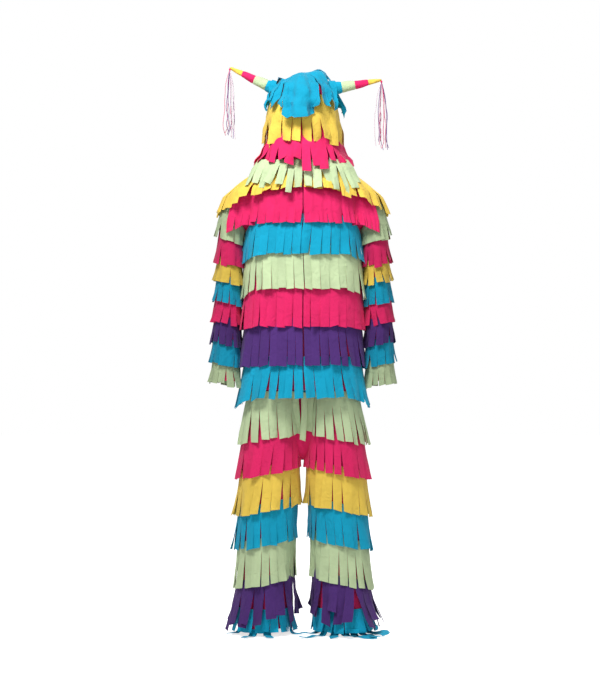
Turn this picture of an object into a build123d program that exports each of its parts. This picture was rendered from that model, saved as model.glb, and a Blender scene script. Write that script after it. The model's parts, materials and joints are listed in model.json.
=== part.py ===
"""A fringed pinata costume: a hooded jumpsuit of pink cloth covered in rows of cut fringe.

The costume stands as it is worn. Its origin is on the floor between the two legs, +Z is up, the
zip faces -Y and +X is the wearer's left. Every cloth tube is described by stations, which are
ellipses along the tube, and every fringe row is a band that stands a little off its tube.
All sizes are in millimetres.
"""

from build123d import *
import os
from math import cos, radians, sin

os.makedirs("parts", exist_ok=True)

# ---- cloth and fringe ----
CLOTH = 1.6            # thickness of the pink base cloth
FRINGE = 1.5           # thickness of a fringe row
SEAM_GAP = 0.8         # space left between pieces that are sewn side by side
HEADER = 22            # uncut strip along the top of a fringe row
SLIT = 1.6             # width of a cut between two strips

# ---- overall heights ----
WAIST_SEAM_Z = 772     # bottom edge of the torso, where the legs hang
LEG_TOP_Z = 725        # top edge of a leg tube, clear of the torso when the leg swings
NECK_Z = 1508          # neck opening of the torso
HOOD_BOTTOM_Z = 1530
HOOD_TOP_Z = 1765
HORN_Z = 1729          # height of the horn roots

# ---- zip ----
ZIP_FRONT_Y = -125     # front face of the torso along the zip, which is straight
ZIP_BOTTOM_Z, ZIP_TOP_Z = 790, 1384
ZIP_SLOT = 18          # gap between the two front panels
COIL_WIDTH = 5
SLIDER_Z = 1369        # bottom of the slider when the zip is closed
SLIDER_SIZE = 12

# ---- horns and tassels ----
HORN_LENGTH = 156
HORN_ROOT_R, HORN_TIP_R = 22, 2.5
HORN_SKIN = 1.5
HORN_CLEARANCE = 10    # room around a horn's root in the crown fringe
HORN_ROOT_X = {1: 96, -1: 91}      # root centre of the left (+1) and right (-1) horn
HORN_RISE = {1: 10, -1: 25}        # how far each horn points above level, in degrees
TASSEL_LENGTH = 222
CORD_R = 0.9
CORD_COUNT = 9


def export(part, name):
    """Labels a finished piece and writes it as its own STEP file."""
    part.label = name
    export_step(part, f"parts/{name}.step")


class Tube:
    """A cloth tube through stations: (s, x, y, z, tilt, half_width, half_depth), in order of s.

    tilt turns the station's plane about Y, so that its +X edge rises. Between two stations every
    value changes evenly. side is -1 for a tube mirrored to the wearer's right.
    """

    def __init__(self, stations, side=1):
        self.stations = stations
        self.side = side

    def at(self, s):
        for low, high in zip(self.stations, self.stations[1:]):
            if s <= high[0] or high is self.stations[-1]:
                share = (s - low[0]) / (high[0] - low[0])
                return [a + share * (b - a) for a, b in zip(low[1:], high[1:])]

    def plane(self, s, tilt=0):
        x, y, z, own_tilt = self.at(s)[:4]
        angle = radians(own_tilt + tilt)
        along = (cos(angle), 0, self.side * sin(angle))
        normal = (-self.side * sin(angle), 0, cos(angle))
        return Plane(origin=(self.side * x, y, z), x_dir=along, z_dir=normal)

    def levels(self, first, last):
        inner = [row[0] for row in self.stations if first + 1e-6 < row[0] < last - 1e-6]
        return [first, *inner, last]

    def solid(self, first, last, gap_first, gap_last, tilt=0):
        """The tube filled solid and grown by a gap that changes evenly along it."""
        slope = (gap_last - gap_first) / (last - first)
        levels = self.levels(first, last)
        with BuildPart() as filled:
            for low, high in zip(levels, levels[1:]):
                gaps = [gap_first + slope * (s - first) for s in (low, high)]
                add(self.length(low, high, *gaps, tilt), clean=False)
        return filled.part

    def length(self, low, high, gap_low, gap_high, tilt):
        """The filled tube between two neighbouring levels."""
        with BuildPart() as filled:
            for s, gap in ((low, gap_low), (high, gap_high)):
                half_width, half_depth = (size + gap for size in self.at(s)[4:])
                wide = half_width / cos(radians(tilt))
                with BuildSketch(self.plane(s, tilt)):
                    with BuildLine():
                        EllipticalCenterArc((0, 0), wide, half_depth, 0, arc_size=180)
                        EllipticalCenterArc((0, 0), wide, half_depth, 180, arc_size=180)
                    make_face()
            loft(ruled=True)
        return filled.part


def band(tube, first, last, gap_first, gap_last, thickness, tilt=0):
    """A plain ring of cloth. The gaps are from the tube's surface to the cloth's inner face."""
    with BuildPart() as ring:
        add(tube.solid(first, last, gap_first + thickness, gap_last + thickness, tilt))
        inside = tube.solid(first, last, gap_first, gap_last, tilt)
        add(inside, mode=Mode.SUBTRACT, clean=False)
    return ring.part


def block(low, high):
    """A plain block from corner low to corner high."""
    with BuildPart() as made:
        with Locations(tuple((a + b) / 2 for a, b in zip(low, high))):
            Box(*(b - a for a, b in zip(low, high)))
    return made.part


def keep_box(part, low, high):
    """The share of a part that lies inside the box from corner low to corner high."""
    with BuildPart() as kept:
        add(part)
        add(block(low, high), mode=Mode.INTERSECT, clean=False)
    return kept.part


def cut_box(part, low, high):
    """A part with the box from corner low to corner high taken out of it."""
    with BuildPart() as rest:
        add(part)
        add(block(low, high), mode=Mode.SUBTRACT, clean=False)
    return rest.part


def cut_strips(ring, tube, bottom, head, strips, tilt=0):
    """Cuts a ring of cloth into strips, from its free edge up to its uncut header."""
    free_edge, top_edge = tube.plane(bottom, tilt), tube.plane(head, tilt)
    cut_length = (top_edge.origin - free_edge.origin).length - HEADER
    reach = max(tube.at(bottom)[4:]) * 2
    with BuildPart() as slits:
        with BuildSketch(free_edge.offset(-cut_length)):
            with PolarLocations(reach / 2, strips):
                Rectangle(reach * 0.9, SLIT)
        extrude(amount=2 * cut_length)
    with BuildPart() as row:
        add(ring)
        add(slits.part, mode=Mode.SUBTRACT, clean=False)
    return row.part


FAR = 600  # beyond every surface of the costume


# ---------------------------------------------------------------- torso
TORSO_SECTIONS = [  # z, half width, half depth
    (700, 172, 130),
    (1250, 172, 130),
    (1320, 174, 126),
    (1390, 178, 117),
    (1425, 180, 104),
    (1448, 172, 92),
    (1468, 145, 84),
    (1490, 98, 79),
    (NECK_Z, 78, 77),
]


def torso_y(z, half_depth):
    """Centre of a torso section: the front stays straight for the zip, and the neck is centred."""
    return ZIP_FRONT_Y + half_depth if z <= 1400 else (half_depth - 77) * 0.05


TORSO = Tube([(z, 0, torso_y(z, d), z, 0, w, d) for z, w, d in TORSO_SECTIONS])
ARMHOLE_Z, ARMHOLE_HALF_HEIGHT, ARMHOLE_HALF_DEPTH = 1345, 76, 62
ARMHOLE_INNER_X = 120


def make_torso_shell():
    with BuildPart() as shell:
        add(band(TORSO, WAIST_SEAM_Z, NECK_Z, -CLOTH, -CLOTH, CLOTH))
        for side in (1, -1):
            with BuildSketch(Plane.YZ.offset(side * ARMHOLE_INNER_X)):
                with Locations((0, ARMHOLE_Z)):
                    Ellipse(ARMHOLE_HALF_DEPTH, ARMHOLE_HALF_HEIGHT)
            extrude(amount=side * 100, mode=Mode.SUBTRACT)
    return shell.part


def make_torso():
    shell = make_torso_shell()
    half_slot = ZIP_SLOT / 2
    top = FAR * 3
    back = keep_box(shell, (-FAR, SEAM_GAP / 2, 0), (FAR, FAR, top))
    front = keep_box(shell, (-FAR, -FAR, 0), (FAR, -SEAM_GAP / 2, top))
    slotted = cut_box(front, (-half_slot, -FAR, 0), (half_slot, FAR, ZIP_TOP_Z + 6))
    export(keep_box(slotted, (SEAM_GAP / 2, -FAR, 0), (FAR, 0, top)), "torso_front_left")
    export(keep_box(slotted, (-FAR, -FAR, 0), (-SEAM_GAP / 2, 0, top)), "torso_front_right")
    export(back, "torso_back")


def make_gusset():
    """The saddle of cloth that joins the front to the back between the legs."""
    half_length, drop, half_width = 120, 34, 9
    with BuildPart() as gusset:
        with BuildSketch(Plane.YZ.offset(-half_width)):
            with Locations((5, WAIST_SEAM_Z - 4)):
                Ellipse(half_length, drop)
                Ellipse(half_length - CLOTH, drop - CLOTH, mode=Mode.SUBTRACT)
                Rectangle(
                    2 * FAR, 2 * FAR, align=(Align.CENTER, Align.MIN), mode=Mode.SUBTRACT
                )
        extrude(amount=2 * half_width)
    export(gusset.part, "crotch_gusset")


# Bottom edge and gap of each torso row, by colour. The front is parted over the zip.
TORSO_STRIPS = 36
ROW_GAP_TOP, ROW_GAP_BOTTOM = 1.0, 13.0
TORSO_ROW_BOTTOMS = {
    "pink": (1294, 970),
    "teal": (1196, 740),
    "green": (1088,),
    "purple": (849,),
}
HEM_GAP = 24           # the lowest row stands further off, so that a leg can swing inside it
TORSO_HEADS = {1294: 1408, 1196: 1322, 1088: 1224, 970: 1116, 849: 998, 740: 877}
ARM_CLEAR_X, ARM_CLEAR_Z = 152, 1190
ZIP_PARTING = 14       # width of the parting in each row over the zip


def part_over_zip(ring):
    half = ZIP_PARTING / 2
    return cut_box(ring, (-half, -FAR, 0), (half, 0, ZIP_TOP_Z + 10))


def clear_the_arms(ring):
    """Takes away the sides of a torso row where the sleeves leave the torso."""
    for side in (1, -1):
        ends = sorted((side * ARM_CLEAR_X, side * FAR))
        ring = cut_box(ring, (ends[0], -FAR, ARM_CLEAR_Z), (ends[1], FAR, FAR * 3))
    return ring


def make_torso_rows():
    for colour, bottoms in TORSO_ROW_BOTTOMS.items():
        with BuildPart() as rows:
            for bottom in bottoms:
                head = TORSO_HEADS[bottom]
                gap = HEM_GAP if bottom < WAIST_SEAM_Z else ROW_GAP_BOTTOM
                ring = band(TORSO, bottom, head, gap, ROW_GAP_TOP, FRINGE)
                if bottom > ARM_CLEAR_Z:
                    ring = clear_the_arms(ring)
                ring = part_over_zip(ring)
                add(cut_strips(ring, TORSO, bottom, head, TORSO_STRIPS), clean=False)
        export(rows.part, f"torso_{colour}_fringe")


def make_shoulder_rows():
    """The yellow yoke and the green ruff over it, which follow the slope of the shoulders."""
    for name, lift, bottom, top, gap, limit_x in (
        ("yellow_yoke_fringe", 4.5, 1385, 1488, 3, 154),
        ("green_ruff_fringe", 10, 1400, 1494, 6, 128),
    ):
        raised = Tube(
            [(z, 0, torso_y(z, d), z + lift, 0, w, d) for z, w, d in TORSO_SECTIONS]
        )
        ring = band(raised, bottom, top, gap + 5, gap, FRINGE)
        ring = keep_box(ring, (-limit_x, -FAR, 0), (limit_x, FAR, 3 * FAR))
        export(cut_strips(part_over_zip(ring), raised, bottom, top, TORSO_STRIPS), name)


# ---------------------------------------------------------------- zip
TAPE_INNER_X, TAPE_OUTER_X = 3, 20
TAPE_BACK_Y = ZIP_FRONT_Y + CLOTH + 3.2
TAPE_THICKNESS = 0.8
COIL_FRONT_Y, COIL_THICKNESS = ZIP_FRONT_Y + 0.5, 3.0
COIL_PITCH, COIL_NOTCH = 10, 0.6
SLIDER_WIDTH, SLIDER_FACE = 10, 2.4
SLIDER_FRONT_Y = ZIP_FRONT_Y - 2.6
PULL_PIVOT_Y, PULL_PIVOT_Z = SLIDER_FRONT_Y - 2.2, SLIDER_Z + 9
PIN_R, EYE_R = 0.9, 1.2
LUG_GAP, LUG_WIDTH = 4.4, 1.4


def make_zip():
    length = ZIP_TOP_Z - ZIP_BOTTOM_Z
    middle_z = (ZIP_TOP_Z + ZIP_BOTTOM_Z) / 2
    for side, name in ((1, "zip_tape_left"), (-1, "zip_tape_right")):
        with BuildPart() as tape:
            x = side * (TAPE_INNER_X + TAPE_OUTER_X) / 2
            with Locations((x, TAPE_BACK_Y - TAPE_THICKNESS / 2, middle_z)):
                Box(TAPE_OUTER_X - TAPE_INNER_X, TAPE_THICKNESS, length)
        export(tape.part, name)

    with BuildPart() as coil:
        with Locations((0, COIL_FRONT_Y + COIL_THICKNESS / 2, middle_z)):
            Box(COIL_WIDTH, COIL_THICKNESS, length)
        notches = int(length / COIL_PITCH) - 1
        notch_places = [
            (side * COIL_WIDTH / 2, COIL_FRONT_Y, ZIP_BOTTOM_Z + COIL_PITCH * (i + 1))
            for i in range(notches)
            for side in (1, -1)
        ]
        with Locations(*notch_places):
            Box(2 * COIL_NOTCH, 2, COIL_PITCH / 2, mode=Mode.SUBTRACT)
    export(coil.part, "zip_coil")

    with BuildPart() as stops:
        for z in (ZIP_BOTTOM_Z - 3, ZIP_TOP_Z + 3):
            with Locations((0, COIL_FRONT_Y + COIL_THICKNESS / 2, z)):
                Box(COIL_WIDTH + 2, COIL_THICKNESS, 3)
        fillet(stops.edges().filter_by(Axis.Y), radius=1)
    export(stops.part, "zip_stops")

    make_slider()
    make_pull()


def make_slider():
    """A face plate, two side flanges that reach round the coil, and two lugs with the pull's pin."""
    middle_z = SLIDER_Z + SLIDER_SIZE / 2
    flange = 1.8
    with BuildPart() as slider:
        with Locations((0, SLIDER_FRONT_Y + SLIDER_FACE / 2, middle_z)):
            Box(SLIDER_WIDTH, SLIDER_FACE, SLIDER_SIZE)
        fillet(slider.edges().filter_by(Axis.Y), radius=2.5)
        for side in (1, -1):
            x = side * (SLIDER_WIDTH - flange) / 2
            with Locations((x, SLIDER_FRONT_Y + SLIDER_FACE, middle_z)):
                Box(flange, 4, SLIDER_SIZE - 5)
            x = side * (LUG_GAP + LUG_WIDTH) / 2
            with BuildSketch(Plane.YZ.offset(x - LUG_WIDTH / 2)):
                with Locations((PULL_PIVOT_Y, PULL_PIVOT_Z)):
                    Circle(1.7)
                    Rectangle(3, 3.4, align=(Align.MIN, Align.CENTER))
            extrude(amount=LUG_WIDTH)
        with Locations(Location((0, PULL_PIVOT_Y, PULL_PIVOT_Z), (0, 90, 0))):
            Cylinder(PIN_R, LUG_GAP + 2 * LUG_WIDTH)
    export(slider.part, "zip_slider")


def make_pull():
    """A flat tab with an eye round the slider's pin."""
    eye_width, tab_width, tab_length, thickness = 3.6, 6, 26, 1.6
    with BuildPart() as pull:
        with Locations(Location((0, PULL_PIVOT_Y, PULL_PIVOT_Z), (0, 90, 0))):
            Cylinder(2.0, eye_width)
        with Locations((0, PULL_PIVOT_Y, PULL_PIVOT_Z)):
            Box(eye_width, thickness, 6, align=(Align.CENTER, Align.CENTER, Align.MAX))
        with BuildSketch(Plane.XZ.offset(-PULL_PIVOT_Y - thickness / 2)):
            with Locations((0, PULL_PIVOT_Z - 5)):
                RectangleRounded(
                    tab_width, tab_length, 2, align=(Align.CENTER, Align.MAX)
                )
        extrude(amount=thickness)
        with Locations(Location((0, PULL_PIVOT_Y, PULL_PIVOT_Z), (0, 90, 0))):
            Cylinder(EYE_R, eye_width + 2, mode=Mode.SUBTRACT)
    export(pull.part, "zip_pull")


# ---------------------------------------------------------------- hood
HOOD_PROFILE = [  # z, radius
    (1480, 80),
    (HOOD_BOTTOM_Z, 81),
    (1580, 96),
    (1640, 103),
    (1690, 97),
    (1725, 80),
    (1748, 54),
    (HOOD_TOP_Z, 4),
]
HOOD = Tube([(z, 0, 0, z, 0, r, r) for z, r in HOOD_PROFILE])
CROWN_STRIPS, FACE_STRIPS, NECK_STRIPS = 22, 24, 26
VISION_HALF_WIDTH, VISION_Z = 62, (1592, 1662)


def make_hood():
    with BuildPart() as shell:
        add(HOOD.solid(HOOD_BOTTOM_Z, HOOD_TOP_Z, 0, 0))
        inside = HOOD.solid(HOOD_BOTTOM_Z, HOOD_TOP_Z - CLOTH, -CLOTH, -CLOTH)
        add(inside, mode=Mode.SUBTRACT)
    opening = (
        (-VISION_HALF_WIDTH, -FAR, VISION_Z[0]),
        (VISION_HALF_WIDTH, 0, VISION_Z[1]),
    )
    cloth = cut_box(shell.part, *opening)
    top = 3 * FAR
    export(keep_box(cloth, (SEAM_GAP / 2, -FAR, 0), (FAR, FAR, top)), "hood_left_half")
    export(keep_box(cloth, (-FAR, -FAR, 0), (-SEAM_GAP / 2, FAR, top)), "hood_right_half")
    low = [a + SEAM_GAP for a in opening[0]]
    high = [a - SEAM_GAP for a in opening[1]]
    export(keep_box(shell.part, low, high), "vision_mesh")

    neck = Tube([(z, 0, 0, z, 0, 77, 77) for z in (NECK_Z, NECK_Z + 20)])
    export(band(neck, NECK_Z + 1, NECK_Z + 11, -4, -4, 4), "neck_band")


def make_hood_rows():
    for name, bottom, top, gap, strips in (
        ("hood_pink_fringe", 1494, 1585, 58, NECK_STRIPS),
        ("hood_yellow_fringe", 1556, 1668, 34, FACE_STRIPS),
    ):
        ring = band(HOOD, bottom, top, gap, ROW_GAP_TOP, FRINGE)
        export(cut_strips(ring, HOOD, bottom, top, strips), name)

    bottom, top, gap_bottom, gap_top = 1640, 1752, 15, 2
    with BuildPart() as crown:
        add(band(HOOD, bottom, top, gap_bottom, gap_top, FRINGE))
        for side in (1, -1):
            with BuildSketch(horn_plane(side).offset(-60)):
                Circle(HORN_ROOT_R + HORN_CLEARANCE)
            extrude(amount=160, mode=Mode.SUBTRACT)
    strips = cut_strips(crown.part, HOOD, bottom, top, CROWN_STRIPS)

    bridge = (1672, 1686)  # joins the strips that hang under the horns, which have no header
    slope = (gap_top - gap_bottom) / (top - bottom)
    gaps = [gap_bottom + slope * (z - bottom) for z in bridge]
    with BuildPart() as row:
        add(strips)
        add(band(HOOD, *bridge, *gaps, FRINGE), clean=False)
    export(row.part, "hood_teal_fringe")


# ---------------------------------------------------------------- horns
def horn_plane(side):
    """A plane at a horn's root, facing out along the horn."""
    rise = radians(HORN_RISE[side])
    return Plane(
        origin=(side * HORN_ROOT_X[side], 0, HORN_Z),
        x_dir=(0, 1, 0),
        z_dir=(side * cos(rise), 0, sin(rise)),
    )


def horn_radius(distance):
    return HORN_ROOT_R + (HORN_TIP_R - HORN_ROOT_R) * distance / HORN_LENGTH


def horn_tip(side):
    return horn_plane(side).location * Location((0, 0, HORN_LENGTH))


HORN_BANDS = ("teal", "green", "pink", "yellow")
BAND_LENGTH = HORN_LENGTH / len(HORN_BANDS)
HORN_REACH = 45        # how far the root runs on towards the hood
HORN_HOOD_GAP = 8      # room for the horn to bob on the hood


def frustum(plane, near, far, shrink):
    """A solid length of the horn's cone, with its skin moved inwards by shrink."""
    with BuildPart() as cone:
        for distance in (near, far):
            with BuildSketch(plane.offset(distance)):
                Circle(horn_radius(distance) - shrink)
        loft(ruled=True)
    return cone.part


def make_horn(side, word):
    root = horn_plane(side)
    hood = HOOD.solid(HOOD_BOTTOM_Z, HOOD_TOP_Z, HORN_HOOD_GAP, HORN_HOOD_GAP)
    for i, colour in enumerate(HORN_BANDS):
        near = i * BAND_LENGTH if i else -HORN_REACH
        far = (i + 1) * BAND_LENGTH - (SEAM_GAP if i < len(HORN_BANDS) - 1 else 0)
        with BuildPart() as cover:
            add(frustum(root, near, far, 0))
            add(frustum(root, near, min(far, HORN_LENGTH - 14), HORN_SKIN), mode=Mode.SUBTRACT)
            if i == 0:
                add(hood, mode=Mode.SUBTRACT)
        export(cover.part, f"{word}_horn_{colour}_band")

    with BuildPart() as filling:
        add(frustum(root, 1 - HORN_REACH, HORN_LENGTH - 18, HORN_SKIN + SEAM_GAP / 2))
        add(hood, mode=Mode.SUBTRACT)
    export(filling.part, f"{word}_horn_filling")


def make_tassel(side, word):
    """A knot under the horn's tip with thin cords that spread a little as they hang."""
    tip = horn_tip(side).position
    knot_z = tip.Z - 9
    with BuildPart() as tassel:
        with Locations((tip.X, 0, knot_z)):
            Sphere(4)
        for i in range(CORD_COUNT):
            around = 360 * i / CORD_COUNT
            spread = 3 + 5 * (i % 3)
            length = TASSEL_LENGTH - 12 * (i % 4)
            top = Vector(tip.X + 1.8 * cos(radians(around)), 1.8 * sin(radians(around)), knot_z)
            end = top + Vector(
                spread * cos(radians(around)), spread * sin(radians(around)), -length
            )
            with BuildSketch(Plane(origin=top, z_dir=end - top)):
                Circle(CORD_R)
            extrude(amount=(end - top).length)
    export(tassel.part, f"{word}_tassel")


# ---------------------------------------------------------------- sleeves
SLEEVE_STATIONS = [  # s, x, y, z, tilt, half width, half depth, from below the cuff to the armhole
    (0, 249, 0, 740, 4, 38, 43),
    (1, 248, 0, 800, 4, 38, 44),
    (2, 245, 0, 930, 4, 38, 47),
    (3, 238, 0, 1100, 4, 35, 51),
    (4, 233, 0, 1225, 8, 33, 54),
    (5, 229, 0, 1285, 25, 38, 56),
    (6, 214, 0, 1322, 55, 54, 57),
    (7, 190, 0, 1343, 82, 68, 58),
    (8, 140, 0, 1345, 90, 72, 58),
]
CUFF_S, ARMHOLE_S = 1, 8
SLEEVE_STRIPS = 14
SLEEVE_TILT = 8        # the rows rise towards the outside of the arm
SLEEVE_ROWS = {  # colour: (station of the free edge, station of the header)
    "yellow": ((5.25, 6.85), (2.95, 3.72)),
    "green": ((4.1, 5.9), (0.58, 1.22)),
    "pink": ((3.45, 4.35), (2.17, 2.88)),
    "teal": ((2.58, 3.22), (1.28, 1.9)),
    "purple": ((1.75, 2.4),),
}
SLEEVE_GAP_TOP, SLEEVE_GAP_BOTTOM = 1.0, 8.5
CAP_S = 6              # a header above this station belongs to the shoulder cap
CAP_GAP_TOP, CAP_GAP_BOTTOM = 3.0, 14.0
UPPER_ROW_S, UPPER_ROW_X = 5, 193  # rows above this station stay outside this x


def largest(part):
    """The largest solid of a part: the row, without strips cut off their header."""
    return part.solids().sort_by(SortBy.VOLUME)[-1]


def make_sleeve(side, word):
    tube = Tube(SLEEVE_STATIONS, side)
    clearance = 4
    with BuildPart() as sleeve:
        add(band(tube, CUFF_S, ARMHOLE_S, -CLOTH, -CLOTH, CLOTH))
        add(TORSO.solid(1000, NECK_Z, clearance, clearance), mode=Mode.SUBTRACT)
    export(sleeve.part, f"{word}_sleeve_tube")

    for colour, rows in SLEEVE_ROWS.items():
        with BuildPart() as fringe:
            for bottom, head in rows:
                gaps = (SLEEVE_GAP_BOTTOM, SLEEVE_GAP_TOP)
                if head > CAP_S:
                    gaps = (CAP_GAP_BOTTOM, CAP_GAP_TOP)
                tilt = SLEEVE_TILT if head < UPPER_ROW_S else 0
                ring = band(tube, bottom, head, *gaps, FRINGE, tilt)
                if head > UPPER_ROW_S:
                    ends = sorted((side * UPPER_ROW_X, side * FAR))
                    ring = keep_box(ring, (ends[0], -FAR, 0), (ends[1], FAR, 3 * FAR))
                row = cut_strips(ring, tube, bottom, head, SLEEVE_STRIPS, tilt)
                add(largest(row), clean=False)
        export(fringe.part, f"{word}_sleeve_{colour}_fringe")


# ---------------------------------------------------------------- legs
LEG_STATIONS = [  # z, centre x, half width, half depth
    (0, 124, 86, 94),
    (100, 122, 86, 94),
    (300, 118, 88, 94),
    (640, 108, 86, 93),
    (LEG_TOP_Z, 92, 70, 84),
]
LEG_STRIPS = 22
LEG_TILT = -13         # the rows rise towards the inside of the leg
LEG_ROW_BOTTOMS = {
    "green": (617, 161),
    "pink": (508,),
    "yellow": (391,),
    "teal": (283, 1),
    "purple": (48,),
}
LEG_HEADS = {617: 710, 508: 645, 391: 536, 283: 419, 161: 311, 48: 189, 1: 62}
LEG_GAP_TOP, LEG_GAP_BOTTOM = 3.0, 12.0
TOP_ROW_GAP = 7.0      # gap at the head of the highest row, where the leg narrows


def make_leg(side, word):
    tube = Tube([(z, x, 0, z, 0, w, d) for z, x, w, d in LEG_STATIONS], side)
    export(band(tube, 0, LEG_TOP_Z, -CLOTH, -CLOTH, CLOTH), f"{word}_leg_tube")
    for colour, bottoms in LEG_ROW_BOTTOMS.items():
        with BuildPart() as fringe:
            for bottom in bottoms:
                tilt = LEG_TILT if bottom > 10 else 0
                head = LEG_HEADS[bottom]
                gap_top = TOP_ROW_GAP if head == max(LEG_HEADS.values()) else LEG_GAP_TOP
                ring = band(tube, bottom, head, LEG_GAP_BOTTOM, gap_top, FRINGE, tilt)
                add(cut_strips(ring, tube, bottom, head, LEG_STRIPS, tilt), clean=False)
        export(fringe.part, f"{word}_leg_{colour}_fringe")


make_torso()
make_gusset()
make_torso_rows()
make_shoulder_rows()
make_zip()
make_hood()
make_hood_rows()
for side, word in ((1, "left"), (-1, "right")):
    make_horn(side, word)
    make_tassel(side, word)
    make_sleeve(side, word)
    make_leg(side, word)
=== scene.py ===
"""A fringed pinata costume, drawn round its CAD frame: cloth, cut fringe, horns, tassels and zip.

Every cloth tube is a set of ellipses along a line. Every fringe row is one sheet laid on its tube,
uncut along its header and slit into strips below it, and each strip then hangs in its own way.
All sizes are in metres, and the wearer's left (+X) side is side 1.
"""

import json
import zlib
from math import pi, tau

import bmesh
import bpy
import numpy as np
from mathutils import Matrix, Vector, noise
from numpy import clip, cos, exp, interp, linspace, maximum, minimum, radians, sin, where


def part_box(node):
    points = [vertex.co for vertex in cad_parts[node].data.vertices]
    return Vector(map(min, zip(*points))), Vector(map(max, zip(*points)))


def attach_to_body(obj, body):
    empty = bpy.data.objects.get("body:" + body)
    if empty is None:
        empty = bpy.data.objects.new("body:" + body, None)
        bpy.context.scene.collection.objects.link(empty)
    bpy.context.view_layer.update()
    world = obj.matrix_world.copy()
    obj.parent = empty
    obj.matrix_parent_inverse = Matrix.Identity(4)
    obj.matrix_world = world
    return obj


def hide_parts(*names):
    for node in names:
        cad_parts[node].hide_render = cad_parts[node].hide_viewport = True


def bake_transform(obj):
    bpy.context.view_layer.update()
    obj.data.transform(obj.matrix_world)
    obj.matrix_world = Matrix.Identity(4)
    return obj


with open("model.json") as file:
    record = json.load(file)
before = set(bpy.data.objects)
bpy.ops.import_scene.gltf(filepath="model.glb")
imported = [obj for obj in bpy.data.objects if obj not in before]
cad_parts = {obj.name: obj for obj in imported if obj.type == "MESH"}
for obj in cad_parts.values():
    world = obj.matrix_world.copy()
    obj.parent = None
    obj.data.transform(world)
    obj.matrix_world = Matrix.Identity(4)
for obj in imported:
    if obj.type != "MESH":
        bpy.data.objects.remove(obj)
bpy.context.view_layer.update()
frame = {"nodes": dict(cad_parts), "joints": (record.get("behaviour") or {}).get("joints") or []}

SIDES = ((1, "left"), (-1, "right"))
FRONT = radians(-90)  # the angle round a tube that faces -Y
BACK = radians(90)


def top_of(node):
    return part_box(node)[1].z


def foot_of(node):
    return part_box(node)[0].z


# ---- materials
PINK = (0.72, 0.018, 0.125)


def feed(owner, node, values):
    """Gives a node's inputs their values, or links them to another node's output."""
    for key, value in values.items():
        if isinstance(value, bpy.types.NodeSocket):
            owner.node_tree.links.new(value, node.inputs[key])
        else:
            node.inputs[key].default_value = value


def add_node(owner, kind, inputs=None, **settings):
    """The outputs of a new node."""
    node = owner.node_tree.nodes.new(f"ShaderNode{kind}")
    for name, value in settings.items():
        setattr(node, name, value)
    feed(owner, node, inputs or {})
    return node.outputs


def remapped(owner, source, low, high):
    """An output that carries the source's 0 to 1 as low to high."""
    return add_node(owner, "MapRange", {"Value": source, "To Min": low, "To Max": high})["Result"]


def new_material(name, colour, roughness):
    material = bpy.data.materials.new(name)
    material.use_nodes = True
    bsdf = material.node_tree.nodes["Principled BSDF"]
    feed(material, bsdf, {"Base Color": (*colour, 1), "Roughness": roughness})
    return material, bsdf


def cloth_material(name, colour, weave=1500, crease=0.7):
    """Brushed cloth: crossed threads, soft creases, and a tone that differs at random from strip to
    strip, with the painted shade that some rows carry.
    """
    material, bsdf = new_material(name, colour, 0.82)

    def add(kind, inputs=None, **settings):
        return add_node(material, kind, inputs, **settings)

    place = add("TexCoord")["Object"]
    patches = add("TexNoise", {"Vector": place, "Scale": 14, "Detail": 4, "Roughness": 0.6})
    patchy = remapped(material, patches["Fac"], 0.86, 1.10)
    # each strip's random tone, plus its row's painted shade
    strip = add("Attribute", attribute_name="tone_and_painted_shade")
    lift = add("Math", {0: patchy, 1: strip["Fac"]}, operation="ADD")
    tint = add("HueSaturation", {"Color": (*colour, 1), "Value": lift[0]})

    thread = {"Vector": place, "Scale": weave, "Distortion": 1.5}
    warp = add("TexWave", thread, bands_direction="Z")
    weft = add("TexWave", thread, bands_direction="DIAGONAL")
    threads = add("Math", {0: warp["Fac"], 1: weft["Fac"]}, operation="MAXIMUM")
    creases = add("TexNoise", {"Vector": place, "Scale": 38, "Detail": 5, "Distortion": 0.8})
    fine = add("Bump", {"Height": threads[0], "Strength": 0.35, "Distance": 0.0003})
    broad = add("Bump", {
        "Height": creases["Fac"], "Strength": crease, "Distance": 0.006, "Normal": fine["Normal"],
    })
    feed(material, bsdf, {
        "Base Color": tint["Color"], "Normal": broad["Normal"], "Sheen Weight": 0.08,
        "Sheen Roughness": 0.5, "Specular IOR Level": 0.15,
    })
    return material


def hard_material(name, colour, roughness, metallic):
    """Moulded or enamelled hardware with fine scratches and a little wear."""
    material, bsdf = new_material(name, colour, roughness)
    place = add_node(material, "TexCoord")["Object"]
    wear = add_node(material, "TexNoise", {"Vector": place, "Scale": 900, "Detail": 6})["Fac"]
    bump = add_node(material, "Bump", {"Height": wear, "Strength": 0.2, "Distance": 0.0002})
    rough = remapped(material, wear, roughness * 0.7, roughness * 1.5)
    feed(material, bsdf, {"Metallic": metallic, "Roughness": rough, "Normal": bump["Normal"]})
    return material


PINK_CLOTH = cloth_material("pink_cloth", PINK)
ZIP_COIL = hard_material("zip_coil_plastic", (0.62, 0.025, 0.13), 0.45, 0)
ZIP_METAL = hard_material("zip_enamel", (0.66, 0.03, 0.14), 0.3, 0.2)
FINISHES = {  # what a piece is made of, and the record's name for its finish
    "pink": (PINK_CLOTH, "pink_fringe"),
    "teal": (cloth_material("teal_cloth", (0.003, 0.330, 0.520)), "teal_fringe"),
    "yellow": (cloth_material("yellow_cloth", (0.80, 0.560, 0.085)), "yellow_fringe"),
    "green": (cloth_material("green_cloth", (0.50, 0.62, 0.36)), "green_fringe"),
    "purple": (cloth_material("purple_cloth", (0.075, 0.026, 0.170)), "purple_fringe"),
    "base": (PINK_CLOTH, "pink_cloth"),
    "netting": (cloth_material("vision_netting", PINK, weave=2400, crease=0.1), "pink_cloth"),
    "tape": (cloth_material("zip_tape_weave", PINK, weave=2400, crease=0.1), "zip_tape"),
    "knot": (PINK_CLOTH, "tassel_cord"),
}


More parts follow.
